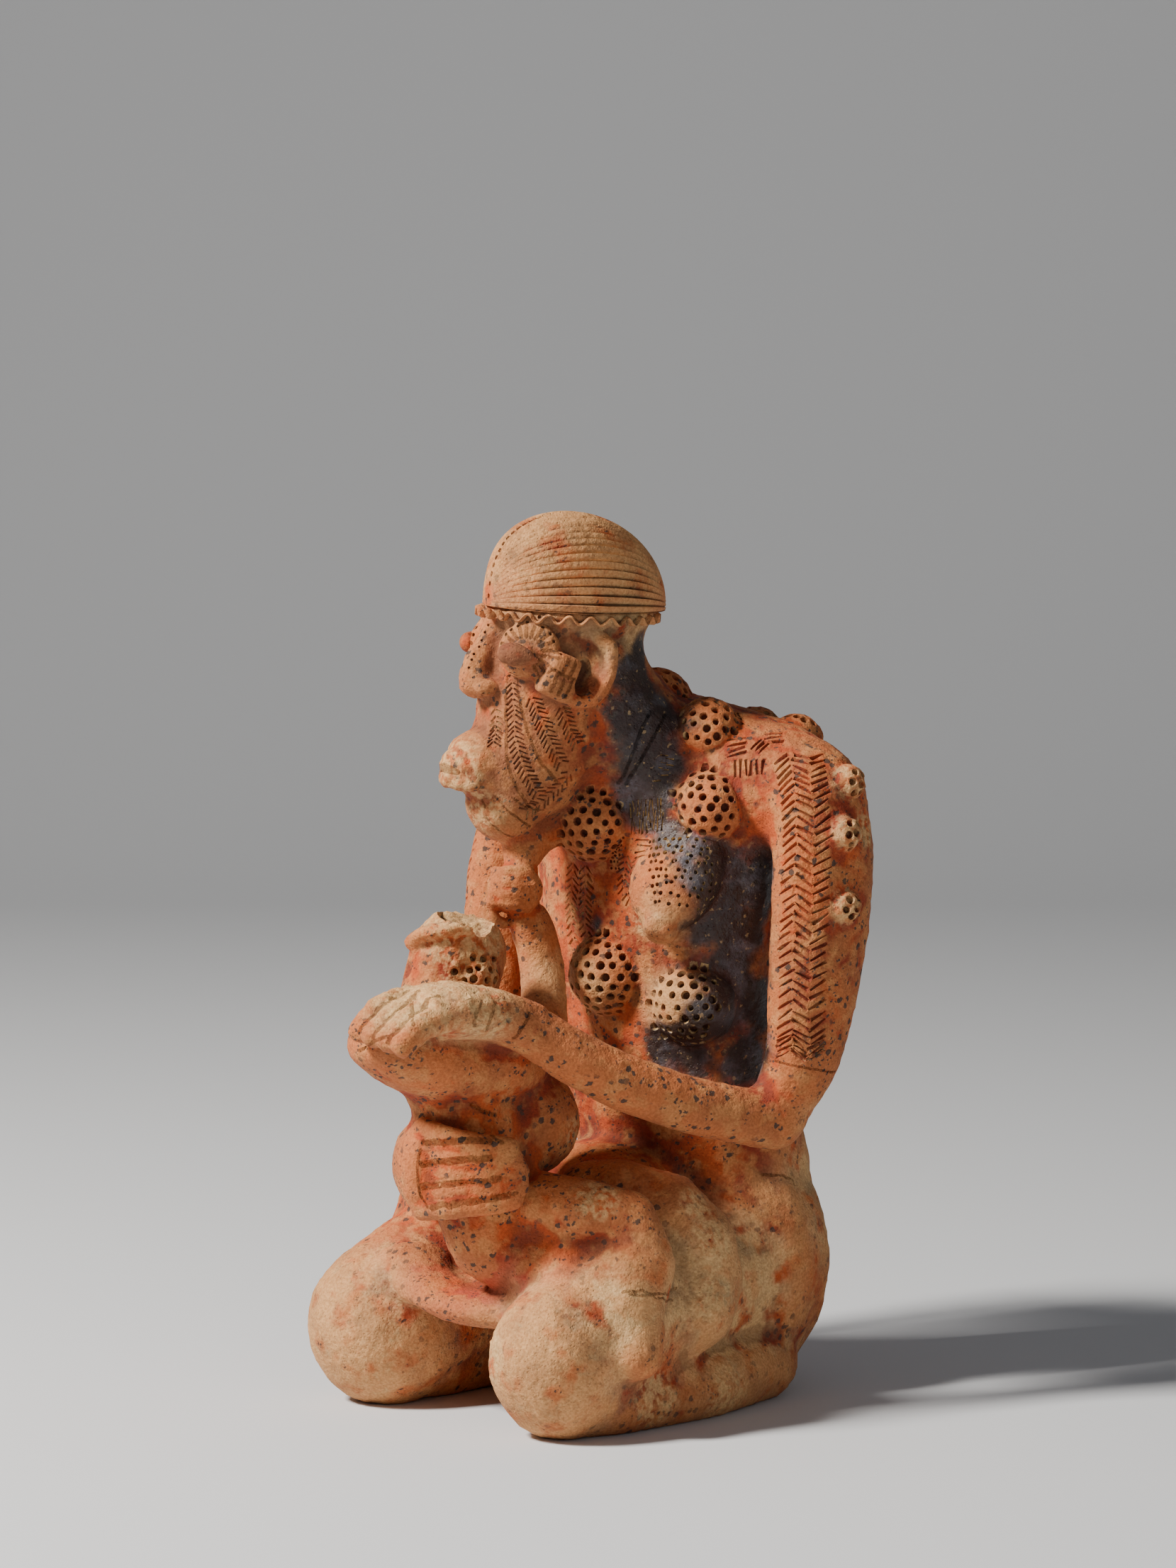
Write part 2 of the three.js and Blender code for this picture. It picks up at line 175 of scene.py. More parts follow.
def ball(place, halves, around=40, rings=24, turn=(0, 0, 0), square=1.0, on=Matrix()):
    """A ball of clay pressed to three half sizes, in millimetres. Below 1, square makes it boxy."""
    bpy.ops.object.select_all(action="DESELECT")
    bpy.ops.mesh.primitive_uv_sphere_add(segments=around, ring_count=rings, radius=1)
    form = bpy.context.object
    unit = points_of(form)
    unit = np.sign(unit) * np.abs(unit) ** square
    move_points(form, unit * np.asarray(halves) * MM)
    tilt = Matrix.Identity(4)
    for angle, axis in zip(turn, "XYZ"):
        tilt = Matrix.Rotation(radians(angle), 4, axis) @ tilt
    form.data.transform(on @ Matrix.Translation(Vector(place) * MM) @ tilt)
    forms.append(form)
    return form


for facing, knobs in KNOB_GROUPS:
    for x, y, z, radius in knobs:
        ball((x, y, z), (radius, radius, radius))


# Rolls of clay, which make her fingers, lips and ears: a ball pulled along a curve through
# stations of (x, y, z, half width, half depth), in millimetres. The depth lies along deep.
def along(stations, share):
    """Points on a smooth curve through the stations, at shares from 0 to 1."""
    rows = np.asarray(stations, float)
    rows = np.vstack([2 * rows[0] - rows[1], rows, 2 * rows[-1] - rows[-2]])
    spot = np.asarray(share) * (len(rows) - 3)
    start = np.clip(spot.astype(int), 0, len(rows) - 4)
    t = (spot - start)[:, None]
    a, b, c, d = (rows[start + step] for step in range(4))
    return b + 0.5 * t * (c - a + t * (2 * a - 5 * b + 4 * c - d + t * (3 * (b - c) + d - a)))


def roll(stations, deep=(0, 0, 1), around=24, rings=36, cap=8, on=Matrix()):
    """A roll of clay along the stations. Its round ends take up cap rings each."""
    bpy.ops.object.select_all(action="DESELECT")
    bpy.ops.mesh.primitive_uv_sphere_add(segments=around, ring_count=rings, radius=1)
    form = bpy.context.object
    unit = points_of(form)
    turn = np.arctan2(unit[:, 1], unit[:, 0])
    ring = np.arccos(np.clip(unit[:, 2], -1, 1)) / pi * rings
    share = np.clip((ring - cap) / (rings - 2 * cap), 0, 1)
    lean = np.where(ring < cap, -np.cos(ring / cap * pi / 2), 0)
    lean += np.where(ring > rings - cap, np.cos((rings - ring) / cap * pi / 2), 0)
    swell = np.sqrt(np.clip(1 - lean**2, 0, 1))
    middle = along(stations, share)
    ahead = along(stations, np.clip(share + 0.01, 0, 1))
    ahead -= along(stations, np.clip(share - 0.01, 0, 1))
    ahead = ahead[:, :3] / np.linalg.norm(ahead[:, :3], axis=1, keepdims=True)
    facing = np.asarray(deep, float)
    if facing.ndim == 2:
        facing = along(facing, share)
    side = np.cross(facing, ahead)
    side /= np.linalg.norm(side, axis=1, keepdims=True)
    depth = np.cross(ahead, side)
    wide, thick = middle[:, 3], middle[:, 4]
    places = middle[:, :3] + ahead * (np.minimum(wide, thick) * lean)[:, None]
    places += side * (np.cos(turn) * wide * swell)[:, None]
    places += depth * (np.sin(turn) * thick * swell)[:, None]
    move_points(form, places * MM)
    form.data.transform(on)
    forms.append(form)
    return form


# Her left breast is a long cone of clay with a small nipple.
LEFT_BREAST = [
    (44, 40, 270, 25, 20),
    (46, 31, 257, 23, 18),
    (49, 23, 246, 18, 14),
    (51, 18, 238, 10, 9),
]
roll(LEFT_BREAST)
ball((52, 11, 238), (4.6, 5, 4.6))

# Her left hand lies on the child's shoulders, four fingers curled over the edge.
FINGER_PITCH = 10
for n in range(4):
    across = 14 + n * FINGER_PITCH
    roll(
        [
            (across + 2, -112.7, 210 - n * 1.5, 5.5, 7),
            (across, -129.7, 206 - n * 2, 5.5, 7),
            (across - 2, -140.5, 196 - n * 1.5, 5, 6),
        ]
    )
roll([(46, -65, 195, 12, 12.5), (40, -83, 202, 17, 12.5), (34, -104, 206, 21, 13.5)])

# Her right hand wraps the child's hips from the far side, and shows five fingers.
HIPS = Vector((12, -60.7, 126))
HIP_REACH = (36.5, 37.5)  # from the middle of the hips out to the fingers
HAND_START = -98  # degrees round the hips
HAND_STEP = 28
HAND_FINGER_PITCH = 9.5
HAND_FINGER_WIDTH = 5.2
HAND_TAPER = 0.13  # how far the fingers draw together at each step
for n in range(5):
    spread = n - 2
    stations = []
    for k in range(4):
        turn = radians(HAND_START + k * (HAND_STEP - 1.4 * abs(spread - 0.5)))
        draw = 1 - HAND_TAPER * k
        stations.append(
            (
                HIPS.x + cos(turn) * HIP_REACH[0],
                HIPS.y + sin(turn) * HIP_REACH[1],
                HIPS.z - spread * HAND_FINGER_PITCH * draw,
                HAND_FINGER_WIDTH * (0.5 + 0.5 * draw),
                6,
            )
        )
    roll(stations)

# The child's right hand closes on the end of her right breast, with the nipple below it.
GRIP = Matrix.Translation(Vector((-12, -20.7, 254)) * MM) @ Matrix.Rotation(radians(47), 4, "Z")
FIST_FINGER_PITCH = 5.2
FIST_HEIGHT = 14
ball((0, 0, 0), (13.5, 10.5, 12.5), on=GRIP)
for n in range(4):
    level = 8 - n * FIST_FINGER_PITCH
    reach = (1 - (level / FIST_HEIGHT) ** 2) ** 0.5
    roll(
        [
            (8 * reach, -6 * reach, level, 2.9, 2.8),
            (-3 * reach, -9 * reach, level + 1.5, 2.9, 2.8),
            (-11.5 * reach, -3.5 * reach, level + 1, 2.7, 2.6),
        ],
        on=GRIP,
    )
ball((-11.5, -4, -6), (3.4, 3.4, 3.4), on=GRIP)
roll([(-11, -3, -8, 2, 2), (-10, -2, -14, 2.6, 2.6), (-6, 0, -17, 3, 3)], deep=(0, 1, 0), on=GRIP)

# The rim of the child's jaw flares out on the near side, under the break.
JAW_RIM = [
    (-9, -90, 233, 4, 4),
    (1, -91, 238, 4.5, 4),
    (10, -86, 240, 4.5, 4),
    (16, -73, 242, 4.5, 4),
    (12, -58, 246, 4, 4),
]
roll(JAW_RIM)

# Her head is modelled facing -Y about the point level with the hairline, then turned on the
# neck. A cap of hair goes over the skull further down, so the skull is pressed in first.
HEAD = (
    Matrix.Translation(Vector((0, 7.3, 394)) * MM)
    @ Matrix.Rotation(radians(-18), 4, "Z")
    @ Matrix.Rotation(radians(4), 4, "Y")
)
SKULL_PRESS = 0.13
SKULL_REACH = 62 * MM
PRESS_FROM = -4  # above the hairline, in mm
PRESS_BLEND = 6
into_head, out_of_head = np.array(HEAD.inverted()), np.array(HEAD)
places = points_of(figure) @ into_head[:3, :3].T + into_head[:3, 3]
press = np.clip((places[:, 2] / MM - PRESS_FROM) / PRESS_BLEND, 0, 1)
press *= np.linalg.norm(places, axis=1) < SKULL_REACH
places *= 1 - SKULL_PRESS * press[:, None]
move_points(figure, places @ out_of_head[:3, :3].T + out_of_head[:3, 3])

# The face is a roll of clay with a long muzzle, thick lips and a strong nose.
FACE = [
    (0, -6, -8, 32, 34),
    (0, -12, -34, 31, 33),
    (0, -17, -62, 29, 32),
    (0, -24, -82, 26, 30),
    (0, -34, -98, 19, 20),
]
roll(FACE, deep=(0, 1, 0), around=48, on=HEAD)
roll([(0, -34, -77, 21, 21), (0, -51, -78, 17, 16), (0, -56, -80, 13.5, 12)], on=HEAD)
NOSE = [(0, -40, -4, 4, 5.5), (0, -44.5, -19, 5, 6), (0, -50, -28, 6, 7), (0, -51, -38, 8.5, 8.5)]
roll(NOSE, deep=(0, 1, 0), on=HEAD)
for front, level in [(-62, -75), (-64, -86)]:
    corner = (front + 7, level - 1, 4, 4)
    roll([(-12, *corner), (0, front, level, 5, 4.4), (12, *corner)], on=HEAD)
for s in (-1, 1):
    ball((s * 8, -49, -40), (4.5, 6.5, 4.5), on=HEAD)

# Her eyes are lozenges of clay on round pads, which are cut into rays further down. Two
# pads sit on each temple, and the ears are hooks of clay with a shelf inside.
EYE_SET_BACK = {1: 0.0, -1: 2.0}
for s in (-1, 1):
    back = EYE_SET_BACK[s]
    ball((s * 24, -34 + back, -21), (15.5, 6, 14.5), turn=(0, 0, s * 52), on=HEAD)
    ball((s * 34, -20, -28), (6, 9.2, 6.2), turn=(-25, 0, 0), square=0.6, on=HEAD)
    ball((s * 33.5, -24, -37.6), (6, 9, 5.4), turn=(-25, 0, 0), square=0.6, on=HEAD)
    roll(
        [
            (s * 32, -4, -12, 3, 4),
            (s * 35.5, 2.5, -18, 3.6, 5),
            (s * 36.8, 3, -28, 3.6, 5),
            (s * 36.5, 0, -37, 3.6, 5),
            (s * 35.5, -6, -43.5, 3.6, 5),
            (s * 34, -14, -44.5, 3.6, 4.5),
        ],
        deep=(1, 0, 0),
        on=HEAD,
    )
    roll(
        [(s * 31, -3, -16, 3, 3), (s * 33, -1, -28, 3.4, 3), (s * 32.5, -4, -38, 3, 3)],
        deep=(1, 0, 0),
        on=HEAD,
    )

# All the forms are pressed into one body and blended with a wet finger. Spots that later
# wore away are roughened, and the clay keeps shallow dents from the maker's fingers.
BODY_GRAIN = 1.2 * MM
DENT_SIZE = 16 * MM
DENT_DEPTH = 0.9 * MM
ROUGH_SIZE = 5 * MM
ROUGH_DEPTH = 1.1 * MM
WEAR_SIZE = 3 * MM
WEAR_DEPTH = 2.0 * MM
FINISH_PASSES = 3
WORN_SPOTS = [
    (30, -122, 210, 22),
    (48, -98, 207, 16),
    (30, -98, 214, 18),
    (0, -66, 250, 22),
    (14, -74, 218, 15),
    (-4, 12, 222, 8),
    (85, 18, 86, 12),
    (88, 14, 62, 12),
    (78, 16, 104, 9),
    (36, 20, 238, 8),
    (72, -45, 114, 10),
    (34, -24, 140, 7),
    (112, 92, 284, 9),
    (124, 74, 285, 9),
    (124, 73, 249, 9),
    (118, 80, 310, 9),
    (90, -20, 16, 14),
    (84, 30, 12, 14),
    (-22, -50, 314, 15),
    (-16, -32, 296, 13),
    (10, -74, 236, 20),
    (44, -90, 40, 14),
]


def joined(pieces, name):
    """All the pieces as one. The list is emptied."""
    whole = pieces[0]
    pick(whole)
    for piece in pieces:
        piece.select_set(True)
    bpy.ops.object.join()
    whole.name = name
    pieces.clear()
    return whole


def lumps(name, size, detail):
    """A cloudy texture that roughens the clay."""
    texture = bpy.data.textures.new(name, "CLOUDS")
    texture.noise_scale = size
    texture.noise_depth = detail
    return texture


figure = joined(forms, "mother_and_child")
modify(figure, "REMESH", mode="VOXEL", voxel_size=BODY_GRAIN)
modify(figure, "SMOOTH", factor=0.5, iterations=FINISH_PASSES)
mark(figure, "worn", near(points_of(figure), WORN_SPOTS))
dents, rough = lumps("dents", DENT_SIZE, 1), lumps("rough", ROUGH_SIZE, 2)
modify(figure, "DISPLACE", texture=dents, strength=DENT_DEPTH, mid_level=0.5)
modify(figure, "DISPLACE", texture=rough, strength=ROUGH_DEPTH, mid_level=0.5)
wear = lumps("wear", WEAR_SIZE, 2)
modify(figure, "DISPLACE", texture=wear, strength=WEAR_DEPTH, mid_level=0.62, vertex_group="worn")

# Pits on the knobs were pressed with a reed, in staggered rows, and push up a low rim.
REED = 2.3  # half width, in mm
REED_DEPTH = 2.8
REED_PITCH = 7.0
ROW_STEP = 0.87  # rows lie closer than the pits in a row
HAND_JITTER = 0.9
LARGE_KNOB = 15  # radius above which the pits are wider spaced and go further round
SMALL_KNOB_PITCH = REED_PITCH * 0.85
LARGE_REACH, SMALL_REACH = radians(82), radians(64)
RIM_HEIGHT = 0.5
RIM_WIDTH = 0.9
KEPT_FACES = 0.1  # share of the faces that the body needs once it is smooth


def normals_of(piece):
    """The way each of the piece's vertices faces, in rows."""
    facings = np.empty(len(piece.data.vertices) * 3, np.float32)
    piece.data.vertices.foreach_get("normal", facings)
    return facings.reshape(-1, 3).astype(float)


skin = BVHTree.FromObject(figure, bpy.context.evaluated_depsgraph_get())
pits = []
for facing, knobs in KNOB_GROUPS:
    for x, y, z, radius in knobs:
        middle = Vector((x, y, z))
        pitch = REED_PITCH if radius > LARGE_KNOB else SMALL_KNOB_PITCH
        widest = LARGE_REACH if radius > LARGE_KNOB else SMALL_REACH
        level = Vector((0, 0, 1)) if abs(facing.z) < 0.7 else Vector((-0.3, 1, 0))
        right = level.cross(facing).normalized()
        for row in range(-6, 7):
            for column in range(-6, 7):
                u = pitch * (column + 0.5 * (row % 2)) + chance.uniform(-HAND_JITTER, HAND_JITTER)
                v = pitch * ROW_STEP * row + chance.uniform(-HAND_JITTER, HAND_JITTER)
                tilt = (u * u + v * v) ** 0.5 / radius
                if tilt > widest:
                    continue
                aside = (right * u + facing.cross(right) * v).normalized()
                way = facing * cos(tilt) + aside * sin(tilt)
                start = (middle + way * (radius + 7)) * MM
                spot, normal, _, gap = skin.ray_cast(start, -way, 12 * MM)
                if spot is None or gap < 3.5 * MM or normal.dot(way) < 0.3:
                    continue
                pits.append((spot, (way + normal).normalized(), chance.uniform(0.8, 1.15)))

places = points_of(figure)
rise = np.zeros(len(places))
for spot, way, size in pits:
    near_by = np.flatnonzero(np.abs(places - np.array(spot)).max(axis=1) < 5 * MM)
    gap = np.linalg.norm(places[near_by] - np.array(spot), axis=1) / MM - REED * size - 0.5
    rise[near_by] = np.maximum(rise[near_by], np.exp(-((gap / RIM_WIDTH) ** 2)))
move_points(figure, places + normals_of(figure) * (rise * RIM_HEIGHT * MM)[:, None])
modify(figure, "DECIMATE", ratio=KEPT_FACES, use_collapse_triangulate=True)

# Her hair is a cap of clay combed in ridges from the brow to the nape, and below its edge
# runs a thin wavy ribbon of clay. Eyeballs and ribbon are pressed on last, so they stay crisp.
HAIR_RIDGES = 32
COLUMNS_PER_RIDGE = 5
UNDERSIDE_COLUMNS = 40
RIDGE_HEIGHT = 0.08  # as a share of the cap's reach
CAP_WIDE = 38.2
CAP_HIGH = 45.4
CAP_MIDDLE = -5  # its widest place, in front of the ears
CAP_FRONT, CAP_BACK = 41.7, 51.5
CAP_DROP = 2.2
CAP_TILT = Matrix.Rotation(radians(-1.5), 4, "X")
hair_columns = HAIR_RIDGES * COLUMNS_PER_RIDGE
all_columns = hair_columns + UNDERSIDE_COLUMNS
hair = ball((0, 0, 0), (1, 1, 1), around=all_columns, rings=44)
unit = points_of(hair) / MM
slot = np.round((np.arctan2(unit[:, 1], unit[:, 0]) % (2 * pi)) / (2 * pi) * all_columns)
slot %= all_columns
top = slot <= hair_columns
turn = np.where(top, slot / hair_columns * pi, pi + (slot - hair_columns) / UNDERSIDE_COLUMNS * pi)
reach = np.hypot(unit[:, 0], unit[:, 1])
tooth = (slot / COLUMNS_PER_RIDGE) % 1
comb = np.where(tooth > 0, tooth**0.45, 0.0)
fade = np.clip(reach * 2.6, 0, 1) / np.maximum(reach, 0.3) ** 0.5
ridge = np.where(top, 1 + RIDGE_HEIGHT * ((comb - 0.5) * fade - 0.1), 1)
front = unit[:, 2] > 0
wide = CAP_WIDE * np.cos(turn) * ridge * reach ** np.where(front, 1.2, 1)
long = CAP_MIDDLE - unit[:, 2] * np.where(front, CAP_FRONT, CAP_BACK)
high = CAP_HIGH * np.sin(turn) * ridge * reach ** np.where(front, 0.7, 1) * np.where(top, 1, 0.03)
move_points(hair, np.stack([wide, long, high], 1) * MM)
hair.data.transform(HEAD @ Matrix.Translation((0, 0, -CAP_DROP * MM)) @ CAP_TILT)

RIBBON_WAVES = 28
RIBBON_SWING = 1.9
RIBBON_WIDE = 37
RIBBON_FRONT, RIBBON_BACK = 47.5, 41
RIBBON_MEAN = 38
RIBBON_OUT, RIBBON_UP = 24, 7.5  # for a tube of 0.1 round a ring of 1
RIBBON_DROP = 5.9
bpy.ops.object.select_all(action="DESELECT")
bpy.ops.mesh.primitive_torus_add(
    major_segments=RIBBON_WAVES * 10, minor_segments=6, major_radius=1, minor_radius=0.1
)
ribbon = bpy.context.object
ring = points_of(ribbon)
turn = np.arctan2(ring[:, 1], ring[:, 0])
out = np.hypot(ring[:, 0], ring[:, 1]) - 1
wave = np.sin(turn * RIBBON_WAVES) * RIBBON_SWING
slope = np.cos(turn * RIBBON_WAVES) * RIBBON_SWING * RIBBON_WAVES / RIBBON_MEAN
lift = ring[:, 2] * RIBBON_UP * np.sqrt(1 + slope**2)
wide = np.cos(turn) * (RIBBON_WIDE + out * RIBBON_OUT)
long = np.where(ring[:, 1] < 0, RIBBON_FRONT, RIBBON_BACK)
long = np.sin(turn) * (long + out * RIBBON_OUT)
move_points(ribbon, np.stack([wide, long, wave + lift], 1) * MM)
ribbon.data.transform(HEAD @ Matrix.Translation((0, 0, -RIBBON_DROP * MM)) @ CAP_TILT)
forms.append(ribbon)

for s in (-1, 1):
    back = EYE_SET_BACK[s]
    roll(
        [
            (s * 25.2, -46 + back, -21.8, 5.1, 5.2),
            (s * 28.4, -42.2 + back, -22.4, 5.3, 5.5),
            (s * 31.8, -37.8 + back, -23.6, 3.3, 3.6),
            (s * 33.8, -34.8 + back, -24.6, 1.2, 1.2),
        ],
        around=20,
        rings=24,
        cap=7,
        on=HEAD,
    )


def cut(piece, tool, operation="DIFFERENCE"):
    """Cuts the tool out of the piece, or joins it on, and throws the tool away."""
    modify(piece, "BOOLEAN", operation=operation, solver="MANIFOLD", object=tool)
    bpy.data.objects.remove(tool)


for form in list(forms):
    cut(figure, form, "UNION")
forms.clear()


# Her scars and bands were cut in the wet clay with point, comb and reed. The tools for the
# strokes, grooves and dots are made here, and cut out of the body further down.
def skin_at(place):
    """The nearest spot on the skin, and the way it faces."""
    spot, facing, _, _ = skin.find_nearest(place)
    return spot, facing


def stamped(template, stamps):
    """One tool with a copy of the template at each stamp, which is a matrix."""
    shape = np.c_[points_of(template), np.ones(len(template.data.vertices))]
    faces = [tuple(face.vertices) for face in template.data.polygons]
    rows, all_faces = [], []
    for stamp in stamps:
        all_faces += [tuple(v + len(rows) * len(shape) for v in face) for face in faces]
        rows.append(shape @ np.array(stamp).T[:, :3])
    mesh = bpy.data.meshes.new("tool")
    mesh.from_pydata(np.concatenate(rows).tolist(), [], all_faces)
    tool = bpy.data.objects.new("tool", mesh)
    bpy.context.scene.collection.objects.link(tool)
    return tool


def stamp_at(spot, way, facing, halves):
    """A matrix at the spot, its x along the way and its z outward, with half sizes in mm."""
    way = (way - facing * way.dot(facing)).normalized()
    side = facing.cross(way)
    turn = Matrix((way * halves[0], side * halves[1], facing * halves[2])).transposed() * MM
    return Matrix.Translation(spot) @ turn.to_4x4()


def length_of(path):
    """The length of a path, in its own units."""
    return np.linalg.norm(np.diff(np.asarray(path, float), axis=0), axis=1).sum()


def hatch(path, columns, pitch, length, wide, deep, on=Matrix()):
    """Rows of strokes down a path in mm. A column is (distance to the right, lean in degrees)."""
    strokes = []
    rows = max(1, round(length_of(path) / pitch))
    for row in range(rows):
        share = (row + 0.5) / rows
        here, before, after = along(path, [share, max(share - 0.02, 0), min(share + 0.02, 1)])
        spot, facing = skin_at(on @ (Vector(here) * MM))
        ahead = on.to_3x3() @ Vector(after - before)
        side = facing.cross(ahead).normalized()
        for offset, lean in columns:
            place, out = skin_at(spot + side * (offset + chance.uniform(-0.4, 0.4)) * MM)
            down = (ahead - out * ahead.dot(out)).normalized()
            turn = radians(lean + chance.uniform(-6, 6))
            way = out.cross(down) * cos(turn) - down * sin(turn)
            half = length / 2 * chance.uniform(0.82, 1.05)
            halves = (half, wide / 2 * chance.uniform(0.8, 1.2), deep)
            strokes.append(stamp_at(place, way, out, halves))
    return strokes


def field(corners, across, pitch, wide, deep, lean=0.0, length=None):
    """Dots or strokes in staggered rows over four corners in mm: top left, top right, bottom
    right, bottom left."""
    a, b, c, d = (np.array(corner, float) for corner in corners)
    rows = max(2, round((np.linalg.norm(d - a) + np.linalg.norm(c - b)) / 2 / pitch))
    marks = []
    for row in range(rows):
        v = (row + 0.5) / rows
        left, right = a + (d - a) * v, b + (c - b) * v
        count = max(1, round(np.linalg.norm(right - left) / across))
        for n in range(count):
            u = (n + 0.5 + 0.4 * (row % 2)) / (count + 0.4) + chance.uniform(-0.1, 0.1) / count
            spot, out = skin_at(Vector(left + (right - left) * u) * MM)
            level = Vector(right - left)
            level = (level - out * level.dot(out)).normalized()
            turn = radians(lean + chance.uniform(-8, 8))
            way = level * cos(turn) + out.cross(level) * sin(turn)
            half = (length or wide) / 2 * chance.uniform(0.8, 1.15)
            halves = (half, wide / 2 * chance.uniform(0.85, 1.15), deep)
            marks.append(stamp_at(spot, way, out, halves))
    return marks


def groove(path, wide, deep, step=3.0, on=Matrix()):
    """A long cut pressed along the skin, from a path in mm."""
    count = max(2, round(length_of(path) / step))
    stations, facings = [], []
    for point in along(path, np.linspace(0, 1, count + 1)):
        spot, facing = skin_at(on @ (Vector(point) * MM))
        stations.append((*(spot / MM), wide / 2, deep))
        facings.append(facing)
    return roll(stations, deep=facings, around=4, rings=count + 2, cap=1)


# The point cuts a V: its template is a wedge with a long top and a shorter edge below.
wedge = bpy.data.objects.new("wedge", bpy.data.meshes.new("wedge"))
WEDGE_TOP = [(-1.05, -1.5, 0.5), (1.05, -1.5, 0.5), (1.05, 1.5, 0.5), (-1.05, 1.5, 0.5)]
WEDGE_FACES = [(0, 1, 2, 3), (0, 4, 5, 1), (2, 5, 4, 3), (1, 5, 2), (3, 4, 0)]
wedge.data.from_pydata(WEDGE_TOP + [(-0.8, 0, -1), (0.8, 0, -1)], [], WEDGE_FACES)
bpy.ops.object.select_all(action="DESELECT")
bpy.ops.mesh.primitive_cone_add(vertices=9, radius1=0.62, radius2=1.15, depth=2)
reed = bpy.context.object
bpy.ops.mesh.primitive_cone_add(vertices=6, radius1=0.6, radius2=1.1, depth=2)
point = bpy.context.object

# Bands of herringbone: three columns down her left arm, plainer ones down the right, and
# fields of strokes on the shoulders and chest.
ARM_BAND = [
    (95, 68, 320),
    (105, 60, 306),
    (109, 58, 285),
    (110, 56, 260),
    (111, 54, 236),
    (110, 54, 212),
    (110, 54, 187),
    (109, 54, 176),
]
strokes = hatch(ARM_BAND, [(-9, 35), (0, -33), (9, 30)], pitch=4.1, length=11.2, wide=1.9, deep=1.4)
far_arm_band = [(-x, y - 16, z) for x, y, z in ARM_BAND[1:]]
strokes += hatch(far_arm_band, [(-5, -34), (5, 34)], pitch=4.4, length=10.0, wide=1.8, deep=1.3)
SHOULDER_STROKES = [
    ([(65, 55, 328), (71, 48, 320)], 3.2, 11, 10),
    ([(69, 49, 313), (84, 56, 315)], 2.7, 10, 0),
    ([(74, 58, 325), (80, 60, 322)], 2.7, 10, 0),
    ([(77, 68, 331), (82, 64, 325)], 3.2, 10, 5),
    ([(50, 66, 336), (58, 60, 330)], 3.0, 10, 20),
    ([(-65, 55, 328), (-71, 48, 320)], 3.2, 11, -10),
    ([(-69, 49, 313), (-84, 56, 315)], 2.7, 10, 0),
]
for path, pitch, length, lean in SHOULDER_STROKES:
    strokes += hatch(path, [(0, lean)], pitch=pitch, length=length, wide=1.7, deep=1.2)
CHEST_BAND = [(-8, 19, 264), (-9, 19, 250), (-9, 18, 238), (-8, 19, 224)]
strokes += hatch(CHEST_BAND, [(-9, 35), (-3, -35), (3, 35), (9, -35)], 3.4, 6.4, 1.3, 1.0)
BREAST_BAND = [(25, 20, 270), (24, 19, 258), (26, 16, 247)]
strokes += hatch(BREAST_BAND, [(-5, 40), (0, -40), (5, 40)], 3.0, 5.4, 1.2, 0.9)
cut(figure, stamped(wedge, strokes))

# Rows of small dots cover her left breast, and fine combed lines run above it.
dots = field([(36, 20, 280), (65, 36, 280), (66, 40, 246), (52, 12, 248)], 3.6, 3.8, 2.6, 1.8)
dots += field([(12, 20, 282), (20, 21, 282), (20, 20, 262), (12, 20, 262)], 3.0, 3.6, 2.0, 1.6)
cut(figure, stamped(point, dots))
COMBED = [(24, 23, 297), (43, 28, 297), (43, 27, 283), (24, 23, 283)]
comb = field(COMBED, 2.1, 14, 0.8, 0.9, lean=90, length=12.5)
UNDER_COMBED = [(28, 20, 280), (40, 24, 280), (40, 22, 268), (26, 21, 268)]
comb += field(UNDER_COMBED, 12, 3.0, 0.8, 0.9, length=11)
COLLAR_BONE = [(42, 28, 322), (44, 34, 318), (40, 30, 306), (36, 26, 306)]
comb += field(COLLAR_BONE, 4, 3.2, 0.9, 0.8, lean=15, length=4)
cut(figure, stamped(wedge, comb))

# Long cuts: lines down the neck, the fingers and joints of the hands, wrinkles on the chin,
# the band round the arm, the belt, the bracelets and the rings above the child's foot.
NECK_LINES = [
    [(36, 24, 341), (34, 19, 331), (33, 15, 320), (27, 15, 310), (23, 15, 306)],
    [(36, 33, 339), (38, 26, 331), (35, 21, 321), (31, 17, 311), (26, 18, 306)],
]
LEFT_HAND_CUTS = [
    [(28, -123, 213), (37, -130, 208), (46, -137, 202)],
    [(4, -134, 186), (32, -147, 195), (42, -139, 201)],
]
for n in range(3):
    across = 20 + n * FINGER_PITCH
    top = 214 - n * 2
    tip = (across - 3, -144, 196 - n * 1.5)
    LEFT_HAND_CUTS.append([(across + 1, -118, top), (across, -132, top - 4), tip])
WRIST_CUTS = [
    [(51, -101, 210), (53, -105, 205), (51, -104, 200)],
    [(52, -93, 209), (54, -97, 203), (51, -97, 197)],
    [(55, -73, 203), (56, -78, 197), (52, -80, 192)],
]
RIGHT_HAND_CUTS = [
    [(13, -104, 137), (13, -106, 131), (13, -106, 123), (13, -104, 114), (16, -101, 109)],
    [(13, -103, 140), (30, -97, 142), (43, -86, 142)],
    [(14, -105, 130), (30, -97, 133), (43, -86, 134)],
    [(13, -105, 119), (29, -96, 122), (45, -82, 125)],
    [(18, -101, 109), (38, -91, 114), (48, -75, 117)],
]
CHILD_CUTS = [
    [(26, -84, 158), (28, -77, 154), (30, -72, 152)],
    [(29, -77, 146), (42, -84, 144), (45, -81, 141)],
]
CHIN_LINES = [
    [(12, -44, -93), (13, -36, -101), (12, -28, -106)],
    [(8, -49, -94), (8, -43, -103), (7, -34, -108)],
    [(17, -38, -92), (18, -30, -98), (18, -22, -99)],
]
